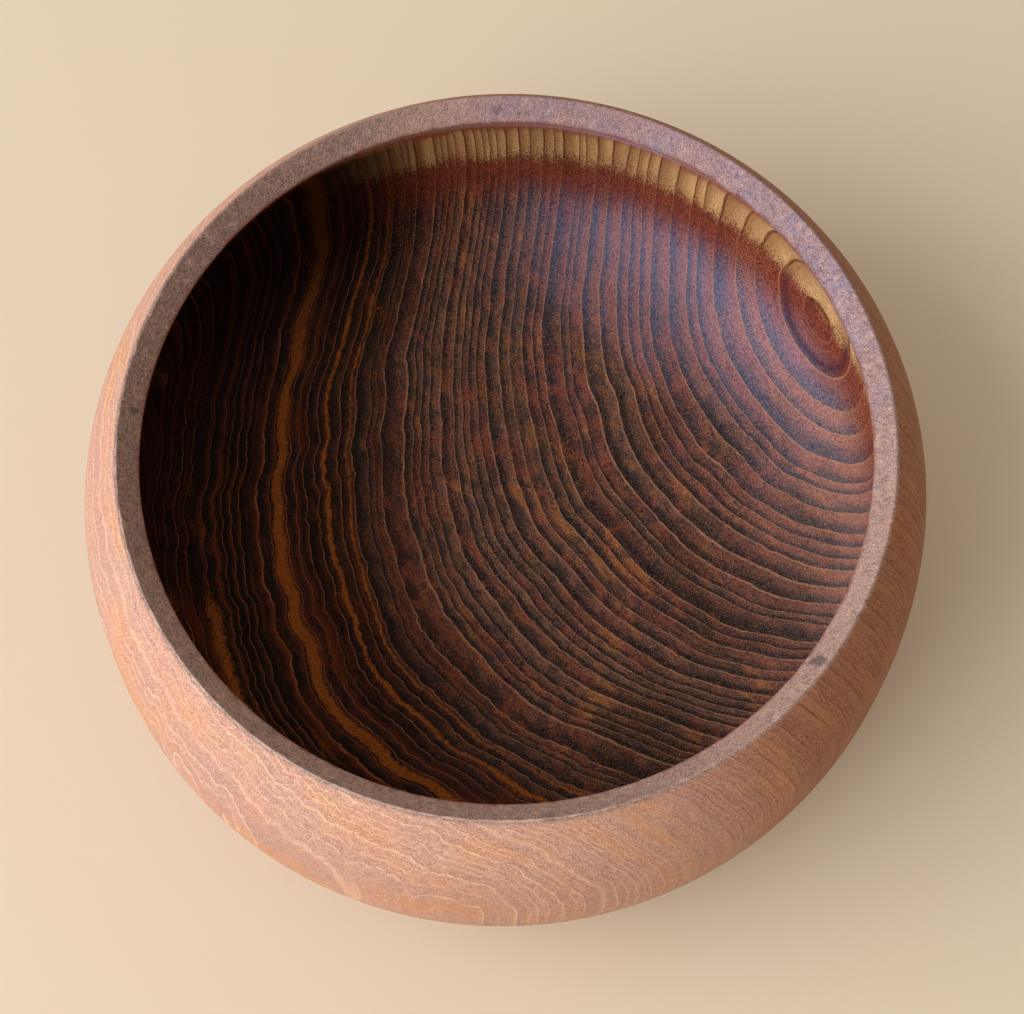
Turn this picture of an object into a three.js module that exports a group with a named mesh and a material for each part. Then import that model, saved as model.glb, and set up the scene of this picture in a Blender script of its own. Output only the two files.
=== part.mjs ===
import * as THREE from 'three';

// A salad bowl turned on a lathe from one block of teak.
// Sizes are in millimetres. The bowl stands on the plane z = 0 and its middle is on the z axis.
// Widths are measured along the longer axis of its slight oval.

// Outside
const HEIGHT = 115;
const BELLY_WIDTH = 270;
const BELLY_HEIGHT = 60;
const RIM_WIDTH = 238.6;

// How long each curve stays full before it turns: 2 is an ellipse, more is squarer
const SHOULDER_FULLNESS = 3.2;
const UNDERSIDE_FULLNESS = 2.6;
const FLOOR_FULLNESS = 2.4;

// Wall and floor
const WALL_THICKNESS = 11;
const FLOOR_THICKNESS = 10.5;

// The rim is a flat cut that falls towards the inside
const RIM_CUT_WIDTH = 6.7;
const RIM_CUT_DROP = 5.7;
const RIM_TOP_ROUNDING = 0.6;
const RIM_INNER_ROUNDING = 0.9;

// The foot is a low ring round a shallow recess
const FOOT_WIDTH = 126;
const FOOT_HEIGHT = 3;
const FOOT_RING_WIDTH = 10;
const FOOT_COVE = 2;
const FOOT_EDGE_ROUNDING = 1;
const RECESS_DEPTH = 2.5;
const RECESS_COVE = 1.5;

// The wood has dried unevenly, so the bowl is narrower across its longer axis,
// which lies at this angle from the x axis
const LONG_AXIS_ANGLE = THREE.MathUtils.degToRad(78);
const SHRINKAGE_ACROSS = 0.023;

// Number of steps round the bowl, along each long curve and in each rounded corner
const TURN_STEPS = 72;
const CURVE_STEPS = 10;
const CORNER_STEPS = 2;

const BELLY_RADIUS = BELLY_WIDTH / 2;
const RIM_RADIUS = RIM_WIDTH / 2;
const FOOT_RADIUS = FOOT_WIDTH / 2;
const RECESS_RADIUS = FOOT_RADIUS - FOOT_RING_WIDTH;
const INNER_BELLY_RADIUS = BELLY_RADIUS - WALL_THICKNESS;
const FLOOR_HEIGHT = RECESS_DEPTH + FLOOR_THICKNESS;

// A point of the profile: its distance from the axis and its height
function point(radius, height) {
  return new THREE.Vector2(radius, height);
}

// The leaning wall above the belly. The radius falls from the belly to the edge
// by a power of the height climbed, so the wall starts upright and leans in more and more.
function shoulder(bellyRadius, edgeRadius, edgeHeight) {
  const points = [];
  for (let step = 0; step <= CURVE_STEPS; step += 1) {
    const climbed = step / CURVE_STEPS;
    const lean = climbed ** SHOULDER_FULLNESS;
    const radius = bellyRadius - (bellyRadius - edgeRadius) * lean;
    const height = BELLY_HEIGHT + (edgeHeight - BELLY_HEIGHT) * climbed;
    points.push(point(radius, height));
  }
  return points;
}

// The quarter of a squared ellipse below the belly, from the given radius out to the belly.
// Its lowest point, on the axis, is at the given height.
function hollow(bellyRadius, lowestHeight, fullness, startRadius) {
  const points = [];
  const depth = BELLY_HEIGHT - lowestHeight;
  const startAngle = Math.acos((startRadius / bellyRadius) ** (fullness / 2));
  for (let step = 0; step <= CURVE_STEPS; step += 1) {
    const angle = startAngle * (1 - step / CURVE_STEPS);
    const radius = bellyRadius * Math.cos(angle) ** (2 / fullness);
    const height = BELLY_HEIGHT - depth * Math.sin(angle) ** (2 / fullness);
    points.push(point(radius, height));
  }
  return points;
}

// The arc that replaces a corner between two neighbouring points of the profile
function roundedCorner(before, corner, after, radius) {
  const towardsBefore = before.clone().sub(corner).normalize();
  const towardsAfter = after.clone().sub(corner).normalize();
  const halfAngle = Math.acos(towardsBefore.dot(towardsAfter)) / 2;
  const bisector = towardsBefore.clone().add(towardsAfter).normalize();
  const centre = corner.clone().addScaledVector(bisector, radius / Math.sin(halfAngle));
  const start = corner.clone().addScaledVector(towardsBefore, radius / Math.tan(halfAngle)).sub(centre);
  const end = corner.clone().addScaledVector(towardsAfter, radius / Math.tan(halfAngle)).sub(centre);
  const turn = Math.atan2(start.cross(end), start.dot(end));
  const points = [];
  for (let step = 0; step <= CORNER_STEPS; step += 1) {
    const spoke = start.clone().rotateAround(new THREE.Vector2(), turn * step / CORNER_STEPS);
    points.push(spoke.add(centre));
  }
  return points;
}

// The ring that the bowl stands on, from the middle of the recess out to the start of the underside
function footProfile(underside) {
  const middle = point(0, RECESS_DEPTH);
  const recessCorner = point(RECESS_RADIUS, RECESS_DEPTH);
  const innerEdge = point(RECESS_RADIUS, 0);
  const outerEdge = point(FOOT_RADIUS, 0);
  return [
    middle,
    ...roundedCorner(middle, recessCorner, innerEdge, RECESS_COVE),
    ...roundedCorner(recessCorner, innerEdge, outerEdge, Math.min(FOOT_EDGE_ROUNDING, RECESS_DEPTH / 3)),
    ...roundedCorner(innerEdge, outerEdge, underside[0], FOOT_EDGE_ROUNDING),
    ...roundedCorner(outerEdge, underside[0], underside[1], FOOT_COVE),
  ];
}

// Half of a cut through the bowl: foot, underside, shoulder, rim, inside wall and floor
function bowlProfile() {
  const topEdge = point(RIM_RADIUS, HEIGHT);
  const innerEdge = point(RIM_RADIUS - RIM_CUT_WIDTH, HEIGHT - RIM_CUT_DROP);
  const underside = hollow(BELLY_RADIUS, FOOT_HEIGHT, UNDERSIDE_FULLNESS, FOOT_RADIUS);
  const outerWall = shoulder(BELLY_RADIUS, topEdge.x, topEdge.y);
  const innerWall = shoulder(INNER_BELLY_RADIUS, innerEdge.x, innerEdge.y).reverse();
  const floor = hollow(INNER_BELLY_RADIUS, FLOOR_HEIGHT, FLOOR_FULLNESS, 0).reverse();
  return [
    ...footProfile(underside),
    ...underside.slice(1),
    ...outerWall.slice(1, -1),
    ...roundedCorner(outerWall.at(-2), topEdge, innerEdge, RIM_TOP_ROUNDING),
    ...roundedCorner(topEdge, innerEdge, innerWall[1], RIM_INNER_ROUNDING),
    ...innerWall.slice(1),
    ...floor.slice(1),
  ];
}

// The block dries after turning and draws in more one way than the other, so the bowl ends up slightly oval
function shrinkAcrossLongAxis(geometry) {
  geometry.rotateZ(-LONG_AXIS_ANGLE);
  geometry.scale(1, 1 - SHRINKAGE_ACROSS, 1);
  geometry.rotateZ(LONG_AXIS_ANGLE);
}

function turnedBowl() {
  const geometry = new THREE.LatheGeometry(bowlProfile(), TURN_STEPS);
  geometry.rotateX(Math.PI / 2);
  shrinkAcrossLongAxis(geometry);
  const oiledTeak = new THREE.MeshStandardMaterial({ color: 0x6a3b22, roughness: 0.42, metalness: 0 });
  const bowl = new THREE.Mesh(geometry, oiledTeak);
  bowl.name = 'turned_bowl';
  return bowl;
}

const saladBowl = new THREE.Group();
saladBowl.add(turnedBowl());

export default saladBowl;
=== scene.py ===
"""A salad bowl turned from one block of teak, oiled dark inside and worn pale along its rim, with a
highlight painted along the rim's outer edge.
"""

import math

import bpy
import numpy as np
from mathutils import Matrix, Vector


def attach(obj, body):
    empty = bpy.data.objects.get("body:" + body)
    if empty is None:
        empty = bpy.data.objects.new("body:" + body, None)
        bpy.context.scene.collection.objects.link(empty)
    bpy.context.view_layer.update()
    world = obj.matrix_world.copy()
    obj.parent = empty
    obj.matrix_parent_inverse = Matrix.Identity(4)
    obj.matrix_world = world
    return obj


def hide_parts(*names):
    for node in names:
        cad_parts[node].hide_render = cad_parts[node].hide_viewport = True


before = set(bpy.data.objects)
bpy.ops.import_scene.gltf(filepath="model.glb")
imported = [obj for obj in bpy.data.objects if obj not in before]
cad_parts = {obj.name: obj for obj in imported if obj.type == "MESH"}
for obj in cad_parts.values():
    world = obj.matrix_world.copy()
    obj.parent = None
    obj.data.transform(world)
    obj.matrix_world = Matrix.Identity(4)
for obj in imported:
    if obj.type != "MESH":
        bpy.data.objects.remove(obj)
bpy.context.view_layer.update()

# One millimetre in metres. Sizes below are in millimetres where nothing else is said.
METRES = 0.001

# Sizes of the solid bowl, measured along the longer axis of its oval
HEIGHT = 115
BELLY_RADIUS = 135
BELLY_HEIGHT = 60
RIM_RADIUS = 119.3
SHOULDER_FULLNESS = 3.2
UNDERSIDE_FULLNESS = 2.6
FLOOR_FULLNESS = 2.4
WALL_THICKNESS = 11
FLOOR_THICKNESS = 10.5
RIM_CUT_WIDTH = 6.7
RIM_CUT_DROP = 5.7
RIM_TOP_ROUNDING = 0.6
RIM_INNER_ROUNDING = 0.9
FOOT_RADIUS = 63
FOOT_HEIGHT = 3
FOOT_RING_WIDTH = 10
FOOT_COVE = 2
FOOT_INNER_ROUNDING = 0.83
FOOT_OUTER_ROUNDING = 1
RECESS_DEPTH = 2.5
RECESS_COVE = 1.5
LONG_AXIS_ANGLE = math.radians(78)
SHRINKAGE_ACROSS = 0.023
INNER_BELLY_RADIUS = BELLY_RADIUS - WALL_THICKNESS

# The skin is kept this far inside the solid
SKIN_INSET = 0.02

# Number of steps round the bowl and along each stretch of its profile
TURN_STEPS = 384
RECESS_STEPS = 8
FOOT_CORNER_STEPS = 5
FOOT_RING_STEPS = 3
UNDERSIDE_STEPS = 48
OUTER_WALL_STEPS = 42
RIM_CORNER_STEPS = 9
RIM_CUT_STEPS = 8
INNER_WALL_STEPS = 38
FLOOR_STEPS = 60

# How far from each edge of the rim its wear and painted highlight, or its reddish band, reaches
OUTER_EDGE_REACH = 0.9
INNER_EDGE_REACH = 1.5

# The rim's outer edge is worn back a little all round, and more in waves: their depth, number in a turn
# and start in radians
EDGE_WEAR = 0.07
EDGE_WAVES = ((0.04, 5, 1), (0.03, 13, 2))

# Nicks in the same edge: direction in degrees, depth and half width
NICKS = (
    (161.5, 0.7, 1.3),
    (168.0, 0.3, 1.0),
    (-71.0, 0.35, 2.0),
    (-65.5, 0.4, 1.6),
    (-14.0, 0.2, 0.8),
)

# Shares of the wear that take the edge inwards and down
WORN_INWARDS = 0.75
WORN_DOWN = 0.65

# The direction in which the rim's outer edge is least pale. Its wear and painted highlight are strongest on
# the opposite side, towards the window.
PALE_EDGE_LEAST = math.radians(55)

# The rings of the tree lie round a pith outside the bowl, in this direction from its middle
PITH_DIRECTION = math.radians(31.2)

# The distance out in the tree grows with the square of the place towards the pith over the first of
# these, and with the square of the place across over the second
RING_FLATTENING = 1000
RING_CURVE = 236

# The rings drift this far sideways by the wall nearest to the pith
SIDEWAYS_DRIFT = 6

# On the side away from the pith the rings lie further out by a shift and a lean
FAR_SIDE_SHIFT = 4.0
FAR_SIDE_LEAN = 0.11

# Average width of a ring, and the count of rings where the distance in the tree is 0
RING_SPACING = 4.7
COUNT_START = 100.35

# The eye, where the wall comes nearest to the pith: its outline's distance in the tree, the width and
# the first count of its narrow rings, and its height
EYE_DISTANCE = -104.4
EYE_SPACING = 2.55
EYE_COUNT_START = 50.0
EYE_HEIGHT = 66

# Sizes of cloudy features in the wood: towards the pith, across that and up the trunk
WANDER_SIZES = (60, 38, 150)
KINK_SIZES = (60, 13, 90)
TREMBLE_SIZES = (3.5, 2.5, 20)
PORE_SIZES = (0.31, 0.31, 0.6)
FADED_LINE_SIZES = (6, 9, 30)
CROWDED_RING_SIZES = (3, 7, 30)
CLOUD_SIZES = (14, 40, 90)
PATCH_SIZES = (7, 26, 50)
SPOT_SIZES = (3.5, 6, 14)
RIM_BLOTCH_SIZES = (3, 3, 6)
RIM_PAINTED_REFLECTION_SIZES = (10, 10, 40)
RIM_MARK_SIZES = (9, 9, 30)
PALE_EDGE_SPOT_SIZES = (8, 8, 40)

# Features that run along the rings, in features for each millimetre: out of the tree, across and up
DASH_RATES = (1.5, 0.65, 0.6)
WAVY_LINE_RATES = (0.7, 0.2, 0.16)
BAND_RATES = (0.14, 0.03, 0.035)

# Width of the thin rings in crowded years
CROWDED_SPACING = 1.7

# Golden streaks far from the pith: distance in the tree, half width and strength.
# The outer ones lie only on the lower left of the bowl.
STREAKS = ((80.0, 3.8, 1.0), (61.0, 1.8, 0.7), (52.5, 1.4, 0.6))
LOWER_LEFT_STREAKS = ((110.5, 5.0, 0.75), (125.0, 4.0, 0.6))

# Where oil has soaked in deepest: x, y and radius, and how dark the stain is
OIL_STAINS = (
    (-48, 92, 26, 0.85),
    (53, 50, 20, 0.6),
    (-38, 36, 20, 0.65),
    (-47, -27, 22, 0.75),
    (48, -68, 30, 1.0),
    (61, 5, 22, 0.6),
    (82, -24, 58, 0.5),
)

# Zones up the inside wall, by height: a band's middle and half width, or where a zone starts and is full
# The painted sheen band: the window's reflection on the lower wall, painted into the colour
PAINTED_SHEEN_BAND = (42.0, 26.0)
RED_BAND = (64.0, 20.0)
GOLD_ZONE = (69.0, 80.0)
LIP_ZONE = (90.0, 99.0)
LIP_TOP = (95.0, 101.0)


def paint(red, green, blue):
    """A screen colour from 0 to 255 as the linear colour that a shader takes"""
    shares = np.array([red, green, blue]) / 255
    linear = np.where(shares > 0.04045, ((shares + 0.055) / 1.055) ** 2.4, shares / 12.92)
    return (*(float(share) for share in linear), 1.0)


# Colours across one ring, from its first wood to its last, each with its share of the way
OILED_RING = (
    (0.0, paint(100, 65, 53)),
    (0.3, paint(86, 56, 47)),
    (0.58, paint(65, 46, 41)),
    (0.8, paint(32, 25, 28)),
    (1.0, paint(12, 14, 20)),
)
DRY_RING = (
    (0.0, paint(186, 126, 94)),
    (0.3, paint(172, 112, 82)),
    (0.8, paint(156, 96, 68)),
    (0.94, paint(130, 78, 56)),
    (1.0, paint(110, 62, 46)),
)

# Colours of the oiled inside
OLIVE = paint(82, 58, 32)
REDDISH_BROWN = paint(98, 42, 36)
RUST = paint(126, 56, 32)
AMBER = paint(146, 90, 42)
SLATE = paint(30, 29, 35)
BLUE_BLACK = paint(9, 13, 21)
OIL_STAIN = paint(7, 13, 15)
OIL_BLACK = paint(5, 2, 1)
# Painted shade on the wall far from the pith, which faces away from the window
PAINTED_SHADE_BLACK = paint(4, 1, 1)
# Painted sheen: the window's lilac and blue reflection on the lower wall, painted into the colour
ROSY_PAINTED_SHEEN = paint(156, 102, 88)
LILAC_PAINTED_SHEEN = paint(152, 108, 118)
GREY_PAINTED_SHEEN = paint(90, 78, 82)
BLUE_PAINTED_SHEEN = paint(92, 96, 122)
RED_WOOD = paint(142, 56, 38)
# Golden band: drier wood, lightened further as painted light where the window falls on the wall
PALE_GOLD = paint(255, 198, 126)
DULL_GOLD = paint(214, 162, 108)
LATE_GOLD = paint(188, 130, 78)
GOLD_RING_END = paint(52, 26, 14)
# Lip: red, then a pale rosy and lilac top, partly painted light on the dim overhang
RED_LIP = paint(168, 76, 44)
ROSY_LIP_WITH_PAINTED_LIGHT = paint(212, 156, 146)
LILAC_LIP_WITH_PAINTED_LIGHT = paint(230, 176, 204)
DARK_PORE = paint(6, 4, 4)
PALE_PORE = paint(222, 160, 110)
TAN_LINE = paint(198, 142, 104)
COPPER_LINE = paint(206, 124, 78)
BESIDE_LINE = paint(102, 46, 24)
WARM_BAND = paint(104, 45, 17)
STREAK_BROWN = paint(106, 52, 16)
STREAK_GOLD = paint(178, 100, 34)
SPARKLE = paint(214, 152, 108)
EYE_GOLD = paint(232, 152, 84)
EYE_SHADE = paint(66, 36, 50)
EYE_OUTLINE = paint(212, 138, 82)

# How much brighter the pale grain is than the wood round it, in red, green and blue
PALE_GRAIN = (2.3, 2.55, 2.3, 1.0)

# Colours of the dry outside
ORANGE_CLOUD = paint(192, 110, 58)
DRY_RED = paint(142, 78, 62)
DRY_ROSE = paint(180, 116, 96)
# Browner towards the pith and paler far from it: partly the wood's own tone, partly painted shade and
# painted light
BROWN_WITH_PAINTED_SHADE = paint(126, 74, 44)
PALE_WITH_PAINTED_LIGHT = paint(206, 164, 146)
ORANGE_BAND = paint(206, 138, 84)
ROSY_GREY_BAND = paint(172, 128, 122)
DARK_FRECKLE = paint(104, 54, 38)
PALE_FRECKLE = paint(248, 202, 164)
WAVY_PALE = paint(242, 196, 156)
PALE_OUTSIDE_LINE = paint(240, 194, 156)
DARK_OUTSIDE_LINE = paint(104, 58, 38)

# Colours of the rim
DULL_RIM = paint(168, 134, 118)
DARKENED_RIM = paint(86, 57, 47)
# Mauve and lilac-grey: the window's reflection on the rim's pith side, painted into the colour
MAUVE_PAINTED_REFLECTION = paint(138, 92, 102)
LILAC_GREY_PAINTED_REFLECTION = paint(106, 104, 134)
PALE_BLOTCH = paint(204, 158, 130)
DARK_BLOTCH = paint(88, 62, 58)
RIM_DARK_GRAIN = paint(54, 36, 34)
RIM_PALE_GRAIN = paint(232, 196, 174)
BLUE_BLACK_MARK = paint(46, 48, 60)
REDDISH_INNER_EDGE = paint(124, 56, 34)
# Pale wear along the rim's outer edge, with a painted highlight
PALE_EDGE_WEAR_AND_HIGHLIGHT = paint(216, 184, 164)

# Roughness of each surface
OUTSIDE_ROUGHNESS = 0.52
INSIDE_ROUGHNESS = 0.46
RIM_ROUGHNESS = 0.48

# The floor reaches this many metres from the bowl each way
FLOOR_REACH = 3.0
FLOOR_COLOUR = paint(222, 200, 168)

# A soft window and the room's light: directions in degrees, the window's distance and width in metres,
# and its power in watts
WINDOW_AZIMUTH = 205
WINDOW_ELEVATION = 33
WINDOW_DISTANCE = 2.6
WINDOW_WIDTH = 2.6
WINDOW_POWER = 92
WINDOW_COLOUR = (0.88, 0.95, 1.1)
BRIGHT_SIDE_AZIMUTH = 200
BRIGHT_SIDE_ELEVATION = 20
ROOM_DIM = (0.5, 0.455, 0.41, 1.0)
ROOM_BRIGHT = (0.68, 0.7, 0.76, 1.0)

# The camera: its place and aim in metres, how far it is tipped, and its film width and lens in millimetres
CAMERA_PLACE = (0, -0.2758, 0.70043)
CAMERA_AIM = (0.00194, 0.00036, 0.0575)
CAMERA_TIP = math.radians(1.562)
FILM_WIDTH = 36
LENS = 76.04


# Shape of the bowl


def shoulder(belly_radius, edge_radius, edge_height, steps):
    """The leaning wall: the radius falls from the belly to the edge by a power of the height climbed"""
    climbed = np.linspace(0, 1, steps)
    radius = belly_radius - (belly_radius - edge_radius) * climbed**SHOULDER_FULLNESS
    height = BELLY_HEIGHT + (edge_height - BELLY_HEIGHT) * climbed
    return np.column_stack([radius, height])


def hollow(belly_radius, lowest_height, fullness, start_radius, steps):
    """The quarter of a squared ellipse below the belly, from the start radius out to the belly"""
    start_angle = math.acos((start_radius / belly_radius) ** (fullness / 2))
    angle = np.linspace(start_angle, 0, steps)
    radius = belly_radius * np.cos(angle).clip(0) ** (2 / fullness)
    depth = BELLY_HEIGHT - lowest_height
    height = BELLY_HEIGHT - depth * np.sin(angle) ** (2 / fullness)
    return np.column_stack([radius, height])


def straight(start, end, steps):
    """Points between two corners, without the corners themselves"""
    share = np.linspace(0, 1, steps + 2)[1:-1, None]
    return np.asarray(start) * (1 - share) + np.asarray(end) * share


def rounded_corner(before, corner, after, radius, steps):
    """The arc that touches both lines of a corner, from the first line to the second"""
    before, corner, after = (np.asarray(place, float) for place in (before, corner, after))
    towards_before = (before - corner) / np.linalg.norm(before - corner)
    towards_after = (after - corner) / np.linalg.norm(after - corner)
    half_angle = math.acos(float(towards_before @ towards_after)) / 2
    bisector = towards_before + towards_after
    bisector /= np.linalg.norm(bisector)
    centre = corner + bisector * radius / math.sin(half_angle)
    start = corner + towards_before * radius / math.tan(half_angle) - centre
    end = corner + towards_after * radius / math.tan(half_angle) - centre
    turn = math.atan2(start[0] * end[1] - start[1] * end[0], float(start @ end))
    angle = np.linspace(0, turn, steps)[:, None]
    spoke = np.column_stack([-start[1:] * np.sin(angle), start[:1] * np.sin(angle)])
    return centre + start * np.cos(angle) + spoke


def foot_stretches(underside):
    """The recess and the ring that the bowl stands on, from the axis out to the start of the underside"""
    recess_radius = FOOT_RADIUS - FOOT_RING_WIDTH
    middle = (0, RECESS_DEPTH)
    cove_start = (recess_radius - RECESS_COVE, RECESS_DEPTH)
    recess_corner = (recess_radius, RECESS_DEPTH)
    ring_inside = (recess_radius, 0)
    ring_outside = (FOOT_RADIUS, 0)
    flat_start = (recess_radius + FOOT_OUTER_ROUNDING, 0)
    flat_end = (FOOT_RADIUS - FOOT_OUTER_ROUNDING, 0)
    corners = (
        (middle, recess_corner, ring_inside, RECESS_COVE),
        (recess_corner, ring_inside, ring_outside, FOOT_INNER_ROUNDING),
        (ring_inside, ring_outside, underside[0], FOOT_OUTER_ROUNDING),
        (ring_outside, underside[0], underside[1], FOOT_COVE),
    )
    recess_cove, inner_edge, outer_edge, outer_cove = (
        rounded_corner(*corner, FOOT_CORNER_STEPS) for corner in corners
    )
    return [
        [middle],
        straight(middle, cove_start, RECESS_STEPS),
        recess_cove,
        inner_edge,
        straight(flat_start, flat_end, FOOT_RING_STEPS),
        outer_edge,
        outer_cove,
    ]


def bowl_profile():
    """Half of a cut through the bowl: recess, foot, underside, outside wall, rim cut, inside wall and floor.
    Gives each point and the name of the surface that it is on."""
    top_edge = (RIM_RADIUS, HEIGHT)
    inner_edge = (RIM_RADIUS - RIM_CUT_WIDTH, HEIGHT - RIM_CUT_DROP)
    floor_height = RECESS_DEPTH + FLOOR_THICKNESS
    underside = hollow(BELLY_RADIUS, FOOT_HEIGHT, UNDERSIDE_FULLNESS, FOOT_RADIUS, UNDERSIDE_STEPS)
    outer_wall = shoulder(BELLY_RADIUS, *top_edge, OUTER_WALL_STEPS)
    inner_wall = shoulder(INNER_BELLY_RADIUS, *inner_edge, INNER_WALL_STEPS)[::-1]
    floor = hollow(INNER_BELLY_RADIUS, floor_height, FLOOR_FULLNESS, 0, FLOOR_STEPS)[::-1]
    top_rounding = rounded_corner(
        outer_wall[-2], top_edge, inner_edge, RIM_TOP_ROUNDING, RIM_CORNER_STEPS
    )
    inner_rounding = rounded_corner(
        top_edge, inner_edge, inner_wall[1], RIM_INNER_ROUNDING, RIM_CORNER_STEPS
    )
    stretches = [
        *(("foot", points) for points in foot_stretches(underside)),
        ("outside", underside[2:]),
        ("outside", outer_wall[1:-1]),
        ("rim", top_rounding),
        ("rim", straight(top_rounding[-1], inner_rounding[0], RIM_CUT_STEPS)),
        ("rim", inner_rounding),
        ("inside", inner_wall[1:]),
        ("inside", floor[1:]),
    ]
    points = np.vstack([points for _, points in stretches])
    surfaces = np.concatenate([[name] * len(points) for name, points in stretches])
    return points, surfaces


def inset(points, amount):
    """Moves each point of the profile into the wood, at a right angle to the profile"""
    along = np.gradient(points, axis=0)
    along /= np.linalg.norm(along, axis=1, keepdims=True)
    into_wood = np.column_stack([-along[:, 1], along[:, 0]])
    moved = points + into_wood * amount
    moved[points[:, 0] == 0, 0] = 0
    return moved


def near_edge(points, edge, reach):
    """1 at an edge of the rim, falling away from it by a bell curve"""
    away = np.linalg.norm(points - edge, axis=1)
    return np.exp(-((away / reach) ** 2))


def wear_depth(angle):
    """How far the rim's outer edge is worn at each angle: sine waves, and a bell curve for each nick"""
    depth = EDGE_WEAR
    for deepest, waves, start in EDGE_WAVES:
        depth = depth + deepest * np.sin(waves * angle + start)
    for direction, deepest, half_width in NICKS:
        away = (angle - math.radians(direction) + math.pi) % (2 * math.pi) - math.pi
        depth = depth + deepest * np.exp(-((away * RIM_RADIUS / half_width) ** 2))
    return depth


def skin_vertices(points, at_outer_edge, angle):
    """The profile carried round the axis, worn at the rim's outer edge, then drawn in across its longer
    axis to a slight oval. The profile's two ends are on the axis, so each is one vertex."""
    worn = at_outer_edge[1:-1, None] * wear_depth(angle)
    radius = points[1:-1, 0, None] - WORN_INWARDS * worn
    height = points[1:-1, 1, None] - WORN_DOWN * worn
    from_long_axis = angle - LONG_AXIS_ANGLE
    along = radius * np.cos(from_long_axis)
    across = radius * np.sin(from_long_axis) * (1 - SHRINKAGE_ACROSS)
    cosine, sine = math.cos(LONG_AXIS_ANGLE), math.sin(LONG_AXIS_ANGLE)
    x = along * cosine - across * sine
    y = along * sine + across * cosine
    around = np.stack([x, y, height], axis=-1).reshape(-1, 3)
    poles = np.array([[0, 0, points[0, 1]], [0, 0, points[-1, 1]]])
    return np.vstack([around, poles]) * METRES


def skin_faces(rows):
    """Four-sided faces between neighbouring rows, and a fan of triangles round each end of the profile"""
    first_pole, last_pole = rows * TURN_STEPS, rows * TURN_STEPS + 1
    column = np.arange(TURN_STEPS)
    following = (column + 1) % TURN_STEPS
    row = np.arange(rows - 1)[:, None] * TURN_STEPS
    next_row = row + TURN_STEPS
    quads = np.stack([row + column, row + following, next_row + following, next_row + column], -1)
    last_row = (rows - 1) * TURN_STEPS
    first_fan = np.column_stack([np.full(TURN_STEPS, first_pole), following, column])
    last_fan = np.column_stack([last_row + column, last_row + following, np.full(TURN_STEPS, last_pole)])
    return quads.reshape(-1, 4).tolist() + first_fan.tolist() + last_fan.tolist()


def baking_layout(length):
    """The map for baking: the share of a turn goes across it, and the share of the profile's length goes
    up it. Its corners come in the order of the faces."""
    share = (length / length[-1])[1:-1]
    column = np.arange(TURN_STEPS)
    left, right = column / TURN_STEPS, (column + 1) / TURN_STEPS
    middle = (left + right) / 2
    level = 0 * left
    low, high = share[:-1, None] + level, share[1:, None] + level
    left_rows, right_rows = left + 0 * low, right + 0 * low
    quads = np.stack([left_rows, low, right_rows, low, right_rows, high, left_rows, high], -1)
    first_fan = np.column_stack([middle, level, right, share[0] + level, left, share[0] + level])
    last_fan = np.column_stack([left, share[-1] + level, right, share[-1] + level, middle, 1 + level])
    return np.vstack([corners.reshape(-1, 2) for corners in (quads, first_fan, last_fan)])


def store(mesh, name, along_profile, around=1):
    """Gives every vertex the value of its profile point, times a share that may change round the bowl"""
    spread = (along_profile[1:-1, None] * around * np.ones(TURN_STEPS)).ravel()
    values = np.concatenate([spread, along_profile[[0, -1]]])
    attribute = mesh.attributes.new(name, "FLOAT", "POINT")
    attribute.data.foreach_set("value", values.astype(np.float32))


def turned_bowl_skin():
    """The bowl's skin, with attributes that say which surface a point is on and how much pale wear and
    painted highlight it gets
    """
    profile, surfaces = bowl_profile()
    steps = np.linalg.norm(np.diff(profile, axis=0), axis=1)
    length = np.concatenate([[0], np.cumsum(steps)])
    at_outer_edge = near_edge(profile, (RIM_RADIUS, HEIGHT), OUTER_EDGE_REACH)
    inner_edge = (RIM_RADIUS - RIM_CUT_WIDTH, HEIGHT - RIM_CUT_DROP)
    at_inner_edge = near_edge(profile, inner_edge, INNER_EDGE_REACH)
    angle = np.arange(TURN_STEPS) * 2 * math.pi / TURN_STEPS
    vertices = skin_vertices(inset(profile, SKIN_INSET), at_outer_edge, angle)
    faces = skin_faces(len(profile) - 2)

    mesh = bpy.data.meshes.new("bowl_skin")
    mesh.from_pydata(vertices.tolist(), [], faces)
    mesh.polygons.foreach_set("use_smooth", np.ones(len(faces), bool))
    store(mesh, "on_inside", (surfaces == "inside").astype(float))
    store(mesh, "on_rim", (surfaces == "rim").astype(float))
    store(mesh, "inner_edge", at_inner_edge)
    store(mesh, "edge_wear_and_highlight", at_outer_edge, 0.5 - 0.5 * np.cos(angle - PALE_EDGE_LEAST))
    layer = mesh.uv_layers.new(name="OFBake")
    layer.data.foreach_set("uv", baking_layout(length).ravel().astype(np.float32))
    mesh.update()

    skin = bpy.data.objects.new("turned_bowl_skin", mesh)
    bpy.context.scene.collection.objects.link(skin)
    return skin


# Shader building


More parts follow.
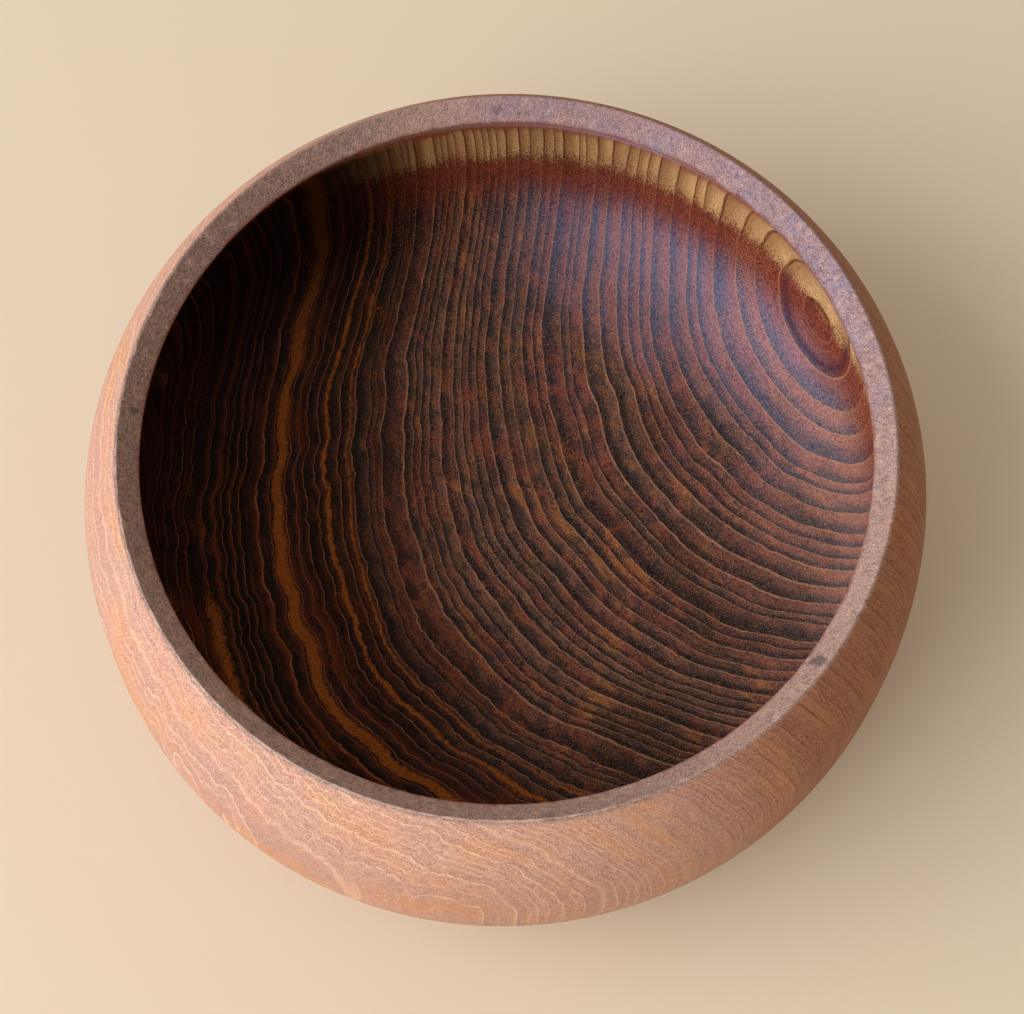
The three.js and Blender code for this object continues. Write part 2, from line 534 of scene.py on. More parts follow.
class Shader:
    """Adds nodes to one material, each fed with plain values or with other nodes' outputs"""

    def __init__(self, name):
        self.material = bpy.data.materials.new(name)
        self.material.use_nodes = True
        self.nodes = self.material.node_tree.nodes
        self.links = self.material.node_tree.links
        self.surface = self.nodes["Principled BSDF"]

    def feed(self, socket, value):
        if isinstance(value, bpy.types.NodeSocket):
            self.links.new(value, socket)
        else:
            socket.default_value = value

    def math(self, operation, *values):
        node = self.nodes.new("ShaderNodeMath")
        node.operation = operation
        for socket, value in zip(node.inputs, values):
            self.feed(socket, value)
        return node.outputs["Value"]

    def add(self, first, second):
        return self.math("ADD", first, second)

    def subtract(self, first, second):
        return self.math("SUBTRACT", first, second)

    def times(self, first, second):
        return self.math("MULTIPLY", first, second)

    def larger(self, first, second):
        return self.math("MAXIMUM", first, second)

    def nudge(self, value, by, amount):
        """The value, plus another one times an amount"""
        return self.math("MULTIPLY_ADD", by, amount, value)

    def smooth(self, value, low, high):
        """Rises smoothly from 0 at low to 1 at high"""
        node = self.nodes.new("ShaderNodeMapRange")
        node.interpolation_type = "SMOOTHSTEP"
        self.feed(node.inputs["Value"], value)
        self.feed(node.inputs["From Min"], low)
        self.feed(node.inputs["From Max"], high)
        return node.outputs["Result"]

    def hump(self, value, centre, half_width):
        """1 at the centre, falling smoothly to 0 at the half width on both sides"""
        away = self.math("ABSOLUTE", self.subtract(value, centre))
        return self.subtract(1.0, self.smooth(away, 0.0, half_width))

    def place(self, x, y, z):
        node = self.nodes.new("ShaderNodeCombineXYZ")
        for socket, value in zip(node.inputs, (x, y, z)):
            self.feed(socket, value)
        return node.outputs["Vector"]

    def noise(self, place, detail=2.0, roughness=0.5):
        """Cloudy noise round 0, about 0.25 either way, with features one unit wide"""
        node = self.nodes.new("ShaderNodeTexNoise")
        self.feed(node.inputs["Vector"], place)
        node.inputs["Scale"].default_value = 1.0
        node.inputs["Detail"].default_value = detail
        node.inputs["Roughness"].default_value = roughness
        return self.subtract(node.outputs["Fac"], 0.5)

    def noise_along(self, value, detail=0.0):
        """The same along one number"""
        node = self.nodes.new("ShaderNodeTexNoise")
        node.noise_dimensions = "1D"
        self.feed(node.inputs["W"], value)
        node.inputs["Scale"].default_value = 1.0
        node.inputs["Detail"].default_value = detail
        return self.subtract(node.outputs["Fac"], 0.5)

    def lot(self, value):
        """A number from 0 to 1 drawn by lot for each whole number"""
        node = self.nodes.new("ShaderNodeTexWhiteNoise")
        node.noise_dimensions = "1D"
        self.feed(node.inputs["W"], value)
        return node.outputs["Value"]

    def away_from(self, place, centre):
        node = self.nodes.new("ShaderNodeVectorMath")
        node.operation = "DISTANCE"
        self.feed(node.inputs[0], place)
        self.feed(node.inputs[1], centre)
        return node.outputs["Value"]

    def ramp(self, value, stops):
        node = self.nodes.new("ShaderNodeValToRGB")
        elements = node.color_ramp.elements
        while len(elements) < len(stops):
            elements.new(0.5)
        for element, (position, colour) in zip(elements, stops):
            element.position = position
            element.color = colour
        self.feed(node.inputs["Fac"], value)
        return node.outputs["Color"]

    def mix(self, share, first, second, blend="MIX"):
        """The first colour where the share is 0, the second where it is 1"""
        node = self.nodes.new("ShaderNodeMix")
        node.data_type = "RGBA"
        node.blend_type = blend
        self.feed(node.inputs[0], share)
        self.feed(node.inputs[6], first)
        self.feed(node.inputs[7], second)
        return node.outputs[2]

    def tint(self, colour, share, strength, tint_colour):
        """The colour, drawn towards another one by a share times a strength"""
        return self.mix(self.times(share, strength), colour, tint_colour)

    def between(self, share, first, second):
        """The first number where the share is 0, the second where it is 1"""
        node = self.nodes.new("ShaderNodeMix")
        self.feed(node.inputs[0], share)
        self.feed(node.inputs[2], first)
        self.feed(node.inputs[3], second)
        return node.outputs[0]

    def attribute(self, name):
        node = self.nodes.new("ShaderNodeAttribute")
        node.attribute_name = name
        return node.outputs["Fac"]


def scaled(shader, place, sizes, shift=0.0):
    """The place measured in feature sizes along each axis. The shift keeps two noises from looking alike."""
    x, y, z = place
    return shader.place(
        shader.nudge(shift, x, 1 / sizes[0]),
        shader.nudge(shift * 0.7, y, 1 / sizes[1]),
        shader.nudge(shift * 1.3, z, 1 / sizes[2]),
    )


def along_rings(shader, distance, tree, rates):
    """A place whose features follow the rings: the distance in the tree, the place across and the height,
    each times its rate"""
    across, height = tree[1], tree[2]
    return shader.place(
        shader.times(distance, rates[0]),
        shader.times(across, rates[1]),
        shader.times(height, rates[2]),
    )


# Rings of the tree


def tree_place(shader, x, y, z):
    """Where a point is in the tree: towards the pith, across that, and up the trunk"""
    cosine, sine = math.cos(PITH_DIRECTION), math.sin(PITH_DIRECTION)
    towards = shader.add(shader.times(x, cosine), shader.times(y, sine))
    across = shader.subtract(shader.times(y, cosine), shader.times(x, sine))
    return towards, across, z


def steady_ring_distance(shader, x, y, tree):
    """How far out in the tree a point would be if the rings were smooth: it falls towards the pith
    and grows with the squares of the places towards it and across"""
    towards, across, _ = tree
    near_pith = shader.larger(towards, 0.0)
    drift = shader.times(shader.times(near_pith, near_pith), SIDEWAYS_DRIFT / INNER_BELLY_RADIUS**2)
    bent = shader.subtract(across, drift)
    flattened = shader.times(shader.times(towards, towards), 1 / RING_FLATTENING)
    distance = shader.subtract(flattened, towards)
    distance = shader.nudge(distance, shader.times(bent, bent), 1 / RING_CURVE)
    lean = shader.nudge(FAR_SIDE_SHIFT, y, FAR_SIDE_LEAN)
    return shader.nudge(distance, lean, shader.smooth(x, 10.0, -60.0))


def ring_distance(shader, x, y, tree):
    """How far out in the tree a point is, in millimetres. Level lines of it are the rings.
    They wander, kink and tremble a little, more so in the outer rings, and hardly at all round the eye."""
    distance = steady_ring_distance(shader, x, y, tree)
    wander = shader.noise(scaled(shader, tree, WANDER_SIZES), detail=1)
    kinks = shader.noise(scaled(shader, tree, KINK_SIZES, shift=3.1), detail=3, roughness=0.55)
    tremble = shader.noise(scaled(shader, tree, TREMBLE_SIZES, shift=7.7), detail=2)
    past_eye = shader.smooth(distance, -107.0, -72.0)
    outer = shader.smooth(distance, -35.0, 80.0)
    wander_reach = shader.nudge(0.2, past_eye, 5.8)
    kink_reach = shader.nudge(shader.nudge(0.2, past_eye, 2.0), outer, 6.0)
    tremble_reach = shader.nudge(shader.nudge(0.1, past_eye, 0.5), outer, 0.3)
    above_or_below = shader.math("ABSOLUTE", shader.subtract(tree[2], EYE_HEIGHT))
    eye_flattening = shader.nudge(0.4, past_eye, -0.4)
    eye_flattening = shader.times(shader.smooth(above_or_below, 2.0, 12.0), eye_flattening)
    distance = shader.add(distance, eye_flattening)
    distance = shader.nudge(distance, wander, wander_reach)
    distance = shader.nudge(distance, kinks, kink_reach)
    return shader.nudge(distance, tremble, tremble_reach)


def ring_count(shader, distance):
    """Rings counted outwards. Good and poor years make them wider and narrower,
    and two narrow ones lie round the eye, where the wall comes nearest to the pith."""
    long_swing = shader.noise_along(shader.times(distance, 1 / 17))
    short_swing = shader.noise_along(shader.nudge(20.0, distance, 1 / 6))
    uneven = shader.nudge(distance, long_swing, 8.0)
    uneven = shader.nudge(uneven, short_swing, 2.6)
    count = shader.nudge(COUNT_START, uneven, 1 / RING_SPACING)
    eye_count = shader.times(shader.subtract(distance, EYE_DISTANCE), 1 / EYE_SPACING)
    in_eye = shader.math("LESS_THAN", distance, EYE_DISTANCE)
    return shader.between(in_eye, count, shader.add(eye_count, EYE_COUNT_START))


def ring_lines(shader, distance, phase, strength):
    """Thin lines where a ring begins and at the eye's edge, and fainter ones halfway through each ring"""
    narrower = shader.nudge(1.0, shader.smooth(distance, -98.0, -106.0), 2.0)
    line = shader.subtract(1.0, shader.smooth(shader.times(phase, narrower), 0.0, 0.085))
    line = shader.larger(line, shader.smooth(phase, 0.975, 0.99))
    line = shader.larger(line, shader.hump(distance, EYE_DISTANCE, 0.14))
    line = shader.times(line, strength)
    halfway = shader.times(shader.hump(phase, 0.52, 0.07), strength)
    return line, halfway


def crowded_lines(shader, distance, tree):
    """In poor years the rings crowd together, and only their thin lines show"""
    crowded = shader.noise_along(shader.nudge(7.3, distance, 1 / 21))
    crowded = shader.smooth(crowded, 0.1, 0.2)
    uneven = shader.noise(scaled(shader, tree, CROWDED_RING_SIZES, shift=1.7), detail=2)
    count = shader.nudge(distance, uneven, 2.4)
    count = shader.nudge(count, shader.noise_along(shader.times(distance, 0.4)), 1.4)
    phase = shader.math("FRACT", shader.times(count, 1 / CROWDED_SPACING))
    return shader.hump(phase, 0.5, 0.3), crowded


def teak_rings(shader, x, y, z):
    """What the colours of the wood are worked out from: its rings, lines, pores and cloudy changes"""
    tree = tree_place(shader, x, y, z)
    distance = ring_distance(shader, x, y, tree)
    count = ring_count(shader, distance)
    phase = shader.math("FRACT", count)
    whole_count = shader.math("FLOOR", count)
    lower_side = shader.smooth(tree[1], -20.0, -70.0)
    far = shader.smooth(shader.nudge(distance, lower_side, -18.0), 12.0, 74.0)

    pores = shader.noise(scaled(shader, tree, PORE_SIZES, shift=5.3), detail=1, roughness=0.5)
    fading = shader.noise(scaled(shader, tree, FADED_LINE_SIZES, shift=4.4), detail=3)
    fading = shader.nudge(0.4, shader.smooth(fading, -0.22, 0.1), 0.6)
    line_lot = shader.lot(shader.add(whole_count, 0.5))
    strength = shader.times(shader.nudge(0.8, line_lot, 0.35), fading)
    strength = shader.times(strength, shader.nudge(1.0, pores, 3.0))
    line, halfway = ring_lines(shader, distance, phase, strength)
    crowd_line, crowded = crowded_lines(shader, distance, tree)
    crowd_line = shader.times(crowd_line, shader.times(crowded, fading))

    dash_place = along_rings(shader, distance, tree, DASH_RATES)
    dashes = shader.noise(dash_place, detail=2, roughness=0.65)
    wavy_place = along_rings(shader, distance, tree, WAVY_LINE_RATES)
    wavy = shader.math("ABSOLUTE", shader.noise(wavy_place, detail=3, roughness=0.6))
    band_place = along_rings(shader, distance, tree, BAND_RATES)
    return {
        "tree": tree,
        "spot": shader.place(x, y, 0.0),
        "distance": distance,
        "phase": phase,
        "ring_lot": shader.lot(whole_count),
        "far": far,
        "line": shader.nudge(line, crowd_line, 0.28),
        "line_outside": shader.nudge(line, halfway, 0.6),
        "pores": pores,
        "dashes": dashes,
        "wavy_lines": shader.smooth(wavy, 0.05, 0.0),
        "bands": shader.noise(band_place, detail=3, roughness=0.6),
        "mottle": shader.smooth(shader.add(pores, shader.times(dashes, 0.5)), -0.24, 0.24),
        "sparkle": shader.smooth(pores, 0.09, 0.24),
        "clouds": shader.noise(scaled(shader, tree, CLOUD_SIZES, shift=2.2), detail=2),
        "patches": shader.noise(scaled(shader, tree, PATCH_SIZES, shift=9.4), detail=2),
        "spots": shader.noise(scaled(shader, tree, SPOT_SIZES, shift=12.6), detail=2),
    }


# Oiled wood of the inside


def up_the_wall(shader, wood, height):
    """Shares of the zones up the inside wall. The oiled wood turns red, then golden where the oil
    thins out, with painted light where the window falls on that wall, then red again at the lip, whose top
    is painted pale as light on the dim overhang. Far from the pith it stays nearly black all the way up."""
    near = shader.subtract(1.0, shader.smooth(wood["distance"], 25.0, 85.0))
    ragged = shader.nudge(height, wood["clouds"], 12.0)
    ragged = shader.nudge(ragged, wood["spots"], 8.0)
    ragged = shader.nudge(ragged, wood["pores"], 14.0)
    red = shader.times(shader.hump(ragged, *RED_BAND), near)
    gold = shader.times(shader.smooth(ragged, *GOLD_ZONE), near)
    lip = shader.times(shader.smooth(ragged, *LIP_ZONE), shader.nudge(0.4, near, 0.6))
    return red, gold, lip


def painted_sheen_share(shader, wood, height):
    """Share of the lower wall on the pith's side where a lilac sheen, the window's reflection, is painted
    into the colour
    """
    near = shader.smooth(wood["distance"], 10.0, -60.0)
    ragged = shader.nudge(height, wood["clouds"], 16.0)
    return shader.times(shader.hump(ragged, *PAINTED_SHEEN_BAND), near)


def streaks_in_the_oil(shader, wood):
    """Shares of the golden streaks that follow a few rings far from the pith"""
    distance = wood["distance"]
    lower_left = shader.smooth(wood["tree"][1], 45.0, 20.0)
    streaks = 0.0
    for middle, half_width, strength in STREAKS:
        streak = shader.times(shader.hump(distance, middle, half_width), strength)
        streaks = shader.larger(streaks, streak)
    for middle, half_width, strength in LOWER_LEFT_STREAKS:
        streak = shader.times(shader.hump(distance, middle, half_width), strength)
        streaks = shader.larger(streaks, shader.times(streak, lower_left))
    streaks = shader.nudge(streaks, wood["dashes"], 1.0)
    streaks = shader.nudge(streaks, wood["patches"], 0.9)
    streaks = shader.nudge(streaks, wood["pores"], 0.5)
    return shader.smooth(streaks, 0.15, 0.8)


def oil_stains(shader, wood):
    """Share of the ragged dark stains on the floor and the lower wall"""
    deepest = 0.0
    for x, y, radius, depth in OIL_STAINS:
        away = shader.away_from(wood["spot"], (x, y, 0.0))
        stain = shader.times(shader.smooth(away, radius, 0.25 * radius), depth)
        deepest = shader.larger(deepest, stain)
    ragged = shader.nudge(deepest, wood["patches"], 0.9)
    ragged = shader.nudge(ragged, wood["spots"], 0.5)
    return shader.smooth(ragged, 0.12, 0.9)


def soaked_rings(shader, wood):
    """Oiled rings, dark towards their end, with olive, red, rust, amber, slate and blue-black patches"""
    phase, ring_lot, spots = wood["phase"], wood["ring_lot"], wood["spots"]
    colour = shader.ramp(phase, OILED_RING)
    olive = shader.smooth(shader.nudge(wood["patches"], ring_lot, 0.2), 0.08, 0.3)
    colour = shader.tint(colour, olive, 0.7, OLIVE)
    reddish = shader.smooth(shader.nudge(wood["clouds"], ring_lot, 0.3), 0.04, 0.24)
    colour = shader.tint(colour, reddish, 0.6, REDDISH_BROWN)
    colour = shader.tint(colour, shader.smooth(spots, 0.04, 0.25), 0.45, RUST)
    early = shader.smooth(phase, 0.9, 0.4)
    amber = shader.times(shader.smooth(wood["patches"], -0.06, -0.22), early)
    colour = shader.tint(colour, amber, 0.45, AMBER)
    colour = shader.tint(colour, shader.smooth(spots, 0.02, -0.14), 0.7, SLATE)
    late = shader.smooth(phase, 0.4, 0.9)
    blue_black = shader.times(late, shader.smooth(spots, 0.26, -0.04))
    return shader.tint(colour, blue_black, 0.9, BLUE_BLACK)


def with_painted_sheen(shader, wood, colour, painted_sheen):
    """Painted sheen, the window's reflection painted into the colour: rosy or lilac in early wood, grey or
    blue in late wood
    """
    upper_side = shader.smooth(wood["tree"][1], -50.0, 15.0)
    early = shader.mix(upper_side, ROSY_PAINTED_SHEEN, LILAC_PAINTED_SHEEN)
    late = shader.mix(upper_side, GREY_PAINTED_SHEEN, BLUE_PAINTED_SHEEN)
    in_late_wood = shader.smooth(shader.nudge(wood["phase"], wood["patches"], 1.2), 0.2, 0.9)
    return shader.tint(colour, painted_sheen, 0.8, shader.mix(in_late_wood, early, late))


def darkened_by_oil(shader, wood, colour):
    """Stains, darkest in late wood, and nearly black wood far from the pith"""
    late = shader.smooth(wood["phase"], 0.4, 0.9)
    stain = shader.times(oil_stains(shader, wood), shader.between(late, 0.55, 0.9))
    colour = shader.mix(stain, colour, OIL_STAIN)
    darkness = shader.nudge(0.98, wood["ring_lot"], -0.25)
    return shader.tint(colour, wood["far"], darkness, OIL_BLACK)


def wall_zones(shader, wood, height, colour, zones):
    """The red band, the golden band with dark ring ends, and the lip. The golden band and the lip's pale top
    are partly painted light.
    """
    red, gold, lip = zones
    phase = wood["phase"]
    colour = shader.tint(colour, red, 0.7, RED_WOOD)
    # Painted light in part: the golden band is lighter where the window lights the wall
    gold_with_painted_light = shader.mix(shader.smooth(wood["patches"], 0.2, -0.2), PALE_GOLD, DULL_GOLD)
    gold_with_painted_light = shader.mix(shader.smooth(phase, 0.1, 0.9), gold_with_painted_light, LATE_GOLD)
    gold_with_painted_light = shader.tint(gold_with_painted_light, shader.hump(phase, 0.93, 0.07), 0.85, GOLD_RING_END)
    colour = shader.tint(colour, gold, 0.95, gold_with_painted_light)
    # Painted light in part: the lip's top is painted pale where the overhang gets little light
    lip_top_with_painted_light = shader.mix(shader.smooth(wood["distance"], -10.0, -90.0), ROSY_LIP_WITH_PAINTED_LIGHT, LILAC_LIP_WITH_PAINTED_LIGHT)
    lip_colour = shader.mix(shader.smooth(height, *LIP_TOP), RED_LIP, lip_top_with_painted_light)
    return shader.tint(colour, lip, 0.9, lip_colour)


def grained(shader, wood, colour, zones, painted_sheen):
    """Dark pores and pale grain, calmer in the painted sheen and in the golden and red bands"""
    red, gold, _ = zones
    smoother = shader.subtract(1.0, shader.times(painted_sheen, 0.45))
    darker = shader.tint(colour, shader.between(gold, 0.6, 0.45), smoother, DARK_PORE)
    calm = shader.larger(gold, shader.times(red, 0.6))
    lift = shader.times(smoother, shader.between(calm, 1.0, 0.1))
    lighter = shader.mix(lift, colour, PALE_GRAIN, "MULTIPLY")
    lighter = shader.mix(shader.between(wood["far"], 0.05, 0.015), lighter, PALE_PORE)
    return shader.mix(wood["mottle"], darker, lighter)


def lined(shader, wood, colour, zones):
    """Tan lines where the rings begin, faded in the golden and red bands. Far from the pith they are
    copper, with a warm brown edge after each."""
    red, gold, _ = zones
    far = wood["far"]
    faded = shader.times(shader.larger(gold, shader.times(red, 0.4)), 0.85)
    plain = shader.subtract(shader.between(far, 0.56, 0.72), faded)
    colour = shader.tint(colour, wood["line"], plain, shader.mix(far, TAN_LINE, COPPER_LINE))
    after_line = shader.times(shader.subtract(1.0, shader.smooth(wood["phase"], 0.05, 0.5)), far)
    after_line = shader.times(after_line, shader.smooth(wood["spots"], -0.2, 0.15))
    return shader.tint(colour, after_line, 0.65, BESIDE_LINE)


def far_side(shader, wood, height, colour, zones):
    """Warm brown bands and golden streaks in the dark wood far from the pith, and nearly black painted shade
    on the wall there, which faces away from the window
    """
    lip = zones[2]
    bands = shader.noise_along(shader.nudge(3.0, wood["distance"], 0.3), detail=1)
    bands = shader.nudge(bands, wood["patches"], 0.8)
    bands = shader.smooth(shader.nudge(bands, wood["pores"], 0.4), 0.0, 0.3)
    colour = shader.tint(colour, shader.times(bands, wood["far"]), 0.7, WARM_BAND)
    streak_colour = shader.mix(wood["mottle"], STREAK_BROWN, STREAK_GOLD)
    colour = shader.tint(colour, streaks_in_the_oil(shader, wood), 0.95, streak_colour)
    # Painted shade: the wall far from the pith, above the floor, is painted nearly black
    up_from_floor = shader.smooth(height, 18.0, 45.0)
    upper_side = shader.smooth(wood["tree"][1], -20.0, 40.0)
    painted_shade = shader.times(shader.times(up_from_floor, upper_side), wood["far"])
    below_lip = shader.between(shader.smooth(lip, 0.0, 0.45), 0.8, 0.1)
    return shader.tint(colour, painted_shade, below_lip, PAINTED_SHADE_BLACK)


def with_eye(shader, wood, colour, zones):
    """The eye of the wood: golden specks round it, a thin broken outline and a dark crescent inside that"""
    gold, distance, pores = zones[1], wood["distance"], wood["pores"]
    specks = shader.times(shader.hump(distance, -98.0, 6.5), shader.smooth(pores, 0.0, 0.2))
    colour = shader.tint(colour, specks, 0.45, EYE_GOLD)
    crescent = shader.hump(distance, EYE_DISTANCE - 0.9, 0.8)
    colour = shader.tint(colour, crescent, shader.between(gold, 0.6, 0.0), EYE_SHADE)
    outline = shader.times(shader.hump(distance, EYE_DISTANCE, 0.17), shader.between(gold, 0.45, 0.15))
    return shader.tint(colour, outline, shader.nudge(1.0, pores, 3.0), EYE_OUTLINE)


def oiled_colour(shader, wood, height):
    """Wood that has soaked up oil: brown, red, olive and slate patches, blue-black late wood in places,
    and thin tan lines where each ring begins"""
    zones = up_the_wall(shader, wood, height)
    painted_sheen = painted_sheen_share(shader, wood, height)
    colour = soaked_rings(shader, wood)
    colour = with_painted_sheen(shader, wood, colour, painted_sheen)
    colour = darkened_by_oil(shader, wood, colour)
    colour = wall_zones(shader, wood, height, colour, zones)
    colour = grained(shader, wood, colour, zones, painted_sheen)
    colour = lined(shader, wood, colour, zones)
    colour = far_side(shader, wood, height, colour, zones)
    colour = shader.tint(colour, wood["sparkle"], shader.between(wood["far"], 0.42, 0.05), SPARKLE)
    return with_eye(shader, wood, colour, zones)


# Dry wood of the outside and the rim


def dry_colour(shader, wood):
    """Wood that has taken less oil: pinkish brown to orange, with fine freckles and thin pale lines.
    On the pith's side it is browner and the lines are dark. The browner pith side is partly painted shade,
    where the outside faces away from the window, and the paler far side partly painted light, where it faces
    the window."""
    bands = wood["bands"]
    near_pith = shader.smooth(wood["distance"], 142.0, 0.0)
    colour = shader.ramp(wood["phase"], DRY_RING)
    colour = shader.tint(colour, shader.smooth(wood["clouds"], -0.05, 0.2), 0.7, ORANGE_CLOUD)
    colour = shader.tint(colour, shader.smooth(wood["patches"], 0.0, 0.25), 0.6, DRY_RED)
    colour = shader.tint(colour, shader.smooth(wood["spots"], 0.0, 0.25), 0.4, DRY_ROSE)
    # Partly painted shade on the side away from the window, partly painted light on the window's side
    colour = shader.tint(colour, near_pith, 0.64, BROWN_WITH_PAINTED_SHADE)
    colour = shader.tint(colour, wood["far"], 0.5, PALE_WITH_PAINTED_LIGHT)
    orange = shader.smooth(bands, 0.0, 0.16)
    colour = shader.tint(colour, orange, shader.between(near_pith, 0.6, 0.25), ORANGE_BAND)
    rosy_grey = shader.smooth(bands, -0.03, -0.2)
    colour = shader.tint(colour, rosy_grey, shader.between(near_pith, 0.6, 0.15), ROSY_GREY_BAND)
    freckles = shader.nudge(wood["pores"], wood["dashes"], 0.3)
    darker = shader.mix(0.36, colour, DARK_FRECKLE)
    lighter = shader.mix(shader.between(near_pith, 0.3, 0.18), colour, PALE_FRECKLE)
    colour = shader.mix(shader.smooth(freckles, -0.16, 0.18), darker, lighter)
    wavy = shader.times(wood["wavy_lines"], shader.between(near_pith, 0.3, 0.08))
    colour = shader.tint(colour, wavy, shader.smooth(wood["distance"], 152.0, 118.0), WAVY_PALE)
    dark_lines = shader.smooth(near_pith, 0.15, 0.5)
    line_colour = shader.mix(dark_lines, PALE_OUTSIDE_LINE, DARK_OUTSIDE_LINE)
    return shader.tint(colour, wood["line_outside"], 0.7, line_colour)


def rim_colour(shader, wood, dry):
    """The rim cut, dulled by hands: brown, with a mauve and lilac-grey painted reflection of the window on
    the pith's side, lighter and darker blotches and a few blue-black marks"""
    tree = wood["tree"]
    blotches = shader.noise(scaled(shader, tree, RIM_BLOTCH_SIZES, shift=6.1), detail=4, roughness=0.7)
    painted_reflection_patches = shader.noise(scaled(shader, tree, RIM_PAINTED_REFLECTION_SIZES, shift=10.3), detail=5, roughness=0.65)
    # Painted reflection: the window's reflection on the rim is painted mauve and lilac-grey on the pith's
    # side
    painted_reflection_side = shader.smooth(wood["distance"], 40.0, -40.0)
    painted_reflection_side = shader.times(painted_reflection_side, shader.smooth(tree[1], -95.0, 0.0))
    colour = shader.mix(0.7, dry, DULL_RIM)
    darkness = shader.between(shader.smooth(tree[1], -30.0, 50.0), 0.42, 0.72)
    colour = shader.tint(colour, wood["far"], darkness, DARKENED_RIM)
    colour = shader.tint(colour, painted_reflection_side, 0.6, MAUVE_PAINTED_REFLECTION)
    painted_reflection_patches = shader.times(shader.smooth(painted_reflection_patches, -0.2, 0.26), painted_reflection_side)
    colour = shader.tint(colour, painted_reflection_patches, 0.78, LILAC_GREY_PAINTED_REFLECTION)
    colour = shader.tint(colour, shader.smooth(blotches, 0.0, 0.24), 0.65, PALE_BLOTCH)
    colour = shader.tint(colour, shader.smooth(blotches, -0.02, -0.24), 0.7, DARK_BLOTCH)
    darker = shader.mix(0.42, colour, RIM_DARK_GRAIN)
    lighter = shader.mix(0.32, colour, RIM_PALE_GRAIN)
    colour = shader.mix(wood["mottle"], darker, lighter)
    marks = shader.noise(scaled(shader, tree, RIM_MARK_SIZES, shift=8.8), detail=2)
    return shader.tint(colour, shader.smooth(marks, 0.16, 0.3), 0.6, BLUE_BLACK_MARK)


def worn_edges(shader, wood, colour):
    """A reddish-brown band over the rim's inner edge, and pale wear with a painted highlight in spots along
    its outer edge, most on the window's side
    """
    reddish_band = shader.nudge(shader.attribute("inner_edge"), wood["spots"], 1.6)
    reddish_band = shader.smooth(shader.nudge(reddish_band, wood["pores"], 0.8), 0.3, 1.2)
    colour = shader.tint(colour, reddish_band, 0.7, REDDISH_INNER_EDGE)
    spots = shader.noise(scaled(shader, wood["tree"], PALE_EDGE_SPOT_SIZES, shift=3.9), detail=3, roughness=0.7)
    # Pale wear and a painted highlight along the outer edge, strongest towards the window
    wear_and_highlight = shader.nudge(shader.attribute("edge_wear_and_highlight"), wood["pores"], 0.8)
    wear_and_highlight = shader.nudge(wear_and_highlight, spots, 1.3)
    return shader.tint(colour, shader.smooth(wear_and_highlight, 0.55, 1.1), 0.7, PALE_EDGE_WEAR_AND_HIGHLIGHT)


# Materials


def oiled_teak():
    """Teak with its rings: dark red-brown where oil has soaked in, pinkish brown outside, dull on the rim.
    Its pores and lines stand up a little, and it shines only softly."""
    shader = Shader("oiled_teak")
    coordinates = shader.nodes.new("ShaderNodeTexCoord")
    separate = shader.nodes.new("ShaderNodeSeparateXYZ")
    shader.links.new(coordinates.outputs["Object"], separate.inputs["Vector"])
    x, y, z = (shader.times(separate.outputs[axis], 1 / METRES) for axis in ("X", "Y", "Z"))
    wood = teak_rings(shader, x, y, z)
    on_inside = shader.attribute("on_inside")
    on_rim = shader.attribute("on_rim")
    dry = dry_colour(shader, wood)
    colour = shader.mix(on_inside, dry, oiled_colour(shader, wood, z))
    colour = shader.mix(on_rim, colour, rim_colour(shader, wood, dry))
    colour = worn_edges(shader, wood, colour)
    shader.feed(shader.surface.inputs["Base Color"], colour)

    roughness = shader.between(on_inside, OUTSIDE_ROUGHNESS, INSIDE_ROUGHNESS)
    roughness = shader.between(on_rim, roughness, RIM_ROUGHNESS)
    roughness = shader.nudge(roughness, wood["pores"], 0.2)
    shader.feed(shader.surface.inputs["Roughness"], roughness)

    bump = shader.nodes.new("ShaderNodeBump")
    bump.inputs["Strength"].default_value = 0.4
    bump.inputs["Distance"].default_value = 0.05 * METRES
    shader.feed(bump.inputs["Height"], shader.nudge(wood["mottle"], wood["line"], 0.2))
    shader.feed(shader.surface.inputs["Normal"], bump.outputs["Normal"])
    shader.surface.inputs["Specular IOR Level"].default_value = 0.05
    return shader.material


def pale_floor():
    """A plain pale floor"""
    shader = Shader("pale_floor")
    shader.surface.inputs["Base Color"].default_value = FLOOR_COLOUR
    shader.surface.inputs["Roughness"].default_value = 0.7
    return shader.material


# Stage


def stage_floor():
    """A flat square that the bowl stands on"""
    reach = FLOOR_REACH
    corners = [(-reach, -reach, 0), (reach, -reach, 0), (reach, reach, 0), (-reach, reach, 0)]
    mesh = bpy.data.meshes.new("floor")
    mesh.from_pydata(corners, [], [(0, 1, 2, 3)])
    floor = bpy.data.objects.new("floor", mesh)
    floor.data.materials.append(pale_floor())
    bpy.context.scene.collection.objects.link(floor)


def direction_to(azimuth, elevation):
    """The unit vector towards a direction given in degrees: round from the x axis, and up from level"""
    azimuth, elevation = math.radians(azimuth), math.radians(elevation)
    x = math.cos(azimuth) * math.cos(elevation)
    y = math.sin(azimuth) * math.cos(elevation)
    return Vector((x, y, math.sin(elevation)))


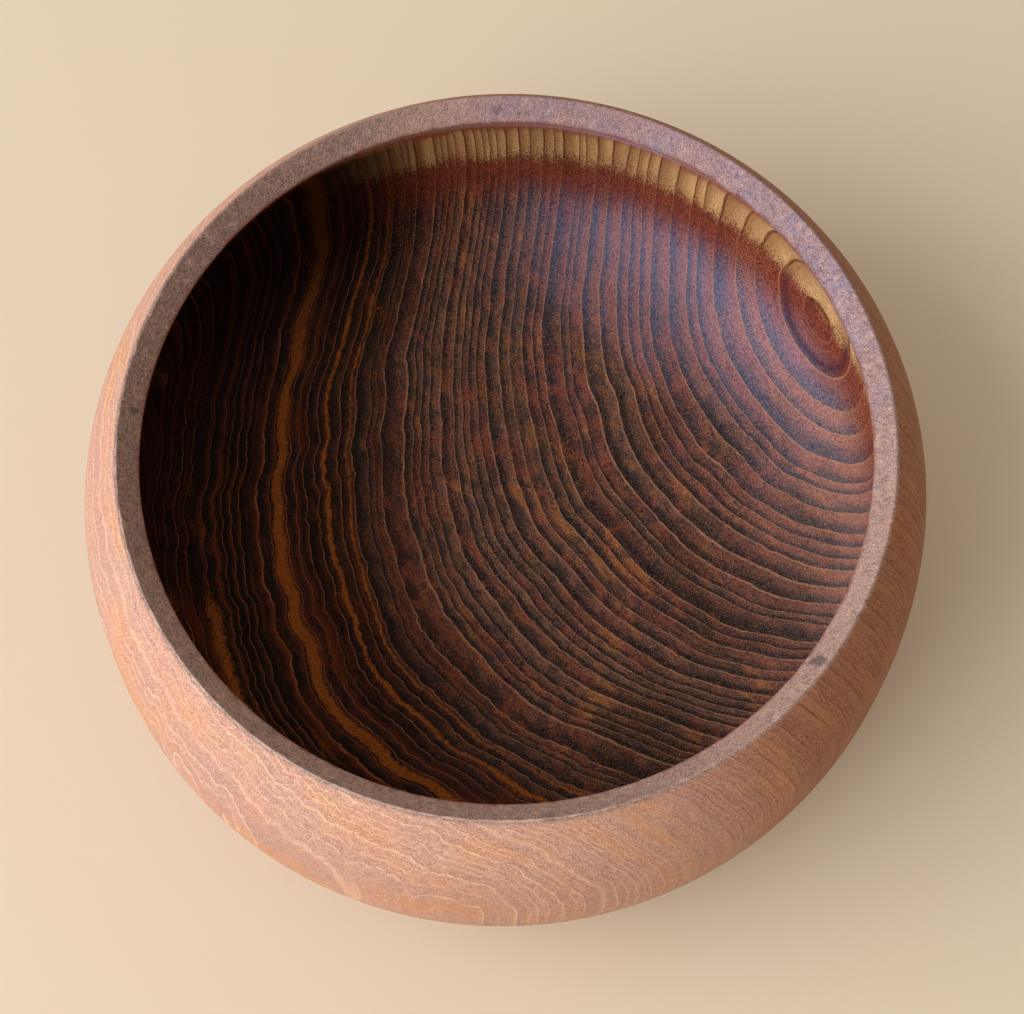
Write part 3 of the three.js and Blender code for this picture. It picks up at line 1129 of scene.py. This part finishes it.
def window():
    """A square soft light, low to the left of the bowl, that faces it"""
    direction = direction_to(WINDOW_AZIMUTH, WINDOW_ELEVATION)
    data = bpy.data.lights.new("window", "AREA")
    data.size = WINDOW_WIDTH
    data.energy = WINDOW_POWER
    data.color = WINDOW_COLOUR
    lamp = bpy.data.objects.new("window", data)
    lamp.location = direction * WINDOW_DISTANCE
    lamp.rotation_euler = direction.to_track_quat("Z", "Y").to_euler()
    bpy.context.scene.collection.objects.link(lamp)


def room_light():
    """Light from all round, brighter on the window's side"""
    world = bpy.data.worlds.new("room")
    world.use_nodes = True
    nodes, links = world.node_tree.nodes, world.node_tree.links
    direction = nodes.new("ShaderNodeTexCoord")
    towards_window = nodes.new("ShaderNodeVectorMath")
    towards_window.operation = "DOT_PRODUCT"
    towards_window.inputs[1].default_value = direction_to(BRIGHT_SIDE_AZIMUTH, BRIGHT_SIDE_ELEVATION)
    room = nodes.new("ShaderNodeValToRGB")
    room.color_ramp.interpolation = "EASE"
    room.color_ramp.elements[0].color = ROOM_DIM
    room.color_ramp.elements[0].position = 0.0
    room.color_ramp.elements[1].color = ROOM_BRIGHT
    links.new(direction.outputs["Generated"], towards_window.inputs[0])
    links.new(towards_window.outputs["Value"], room.inputs["Fac"])
    links.new(room.outputs["Color"], nodes["Background"].inputs["Color"])
    bpy.context.scene.world = world
    bpy.context.scene.view_settings.view_transform = "Standard"


def viewer():
    """The camera stands before the bowl and looks down on it, tipped a little to one side"""
    place = Vector(CAMERA_PLACE)
    forward = (Vector(CAMERA_AIM) - place).normalized()
    level_right = forward.cross(Vector((0, 0, 1))).normalized()
    level_up = level_right.cross(forward)
    right = level_right * math.cos(CAMERA_TIP) + level_up * math.sin(CAMERA_TIP)
    up = level_up * math.cos(CAMERA_TIP) - level_right * math.sin(CAMERA_TIP)
    data = bpy.data.cameras.new("viewer")
    data.sensor_width = FILM_WIDTH
    data.lens = LENS
    camera = bpy.data.objects.new("viewer", data)
    turned = Matrix((right, up, -forward)).transposed()
    camera.matrix_world = Matrix.Translation(place) @ turned.to_4x4()
    bpy.context.scene.collection.objects.link(camera)
    bpy.context.scene.camera = camera


viewer()
stage_floor()
window()
room_light()

bowl = turned_bowl_skin()
bowl.data.materials.append(oiled_teak())
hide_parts("turned_bowl")
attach(bowl, "root")
